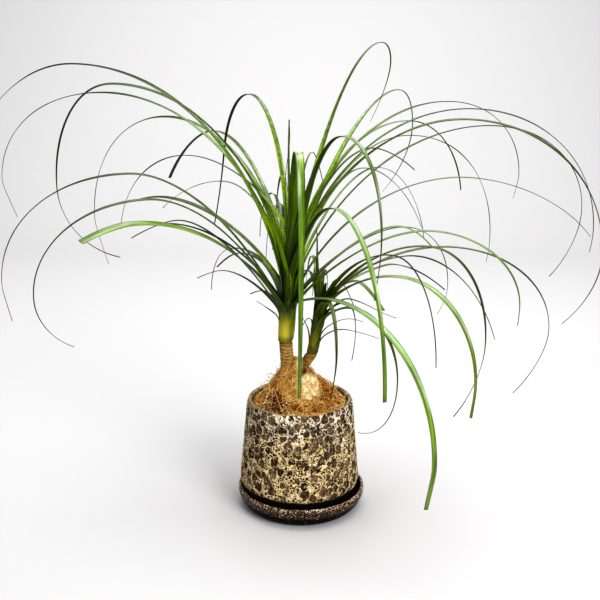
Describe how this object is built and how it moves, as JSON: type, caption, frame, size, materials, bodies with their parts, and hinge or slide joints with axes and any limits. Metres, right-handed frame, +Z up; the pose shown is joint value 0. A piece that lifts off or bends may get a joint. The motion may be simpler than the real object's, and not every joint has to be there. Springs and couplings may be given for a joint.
{
  "type": "potted ponytail palm",
  "caption": "Ponytail palm with a swollen woody base, a main and a side crown of long arching leaves, in a crater-glazed pot with coir mulch, standing on a saucer",
  "frame": {"origin": "middle of the saucer's flat underside", "axes": "+Z up, +X to the right, -Y to the front"},
  "size_m": [0.7701, 0.5009, 0.5699],
  "materials": {
    "saucer_glaze": "gloss",
    "crater_glaze": "satin",
    "potting_soil": "matte",
    "coir": "matte",
    "bark": "matte",
    "leaf": "satin",
    "leaf_side": "satin"
  },
  "bodies": {
    "root": {"saucer": "saucer_glaze", "pot": "crater_glaze", "soil": "potting_soil", "coir_mulch": "coir", "caudex": "bark", "main_crown": "leaf", "side_crown": "leaf_side"}
  },
  "joints": []
}
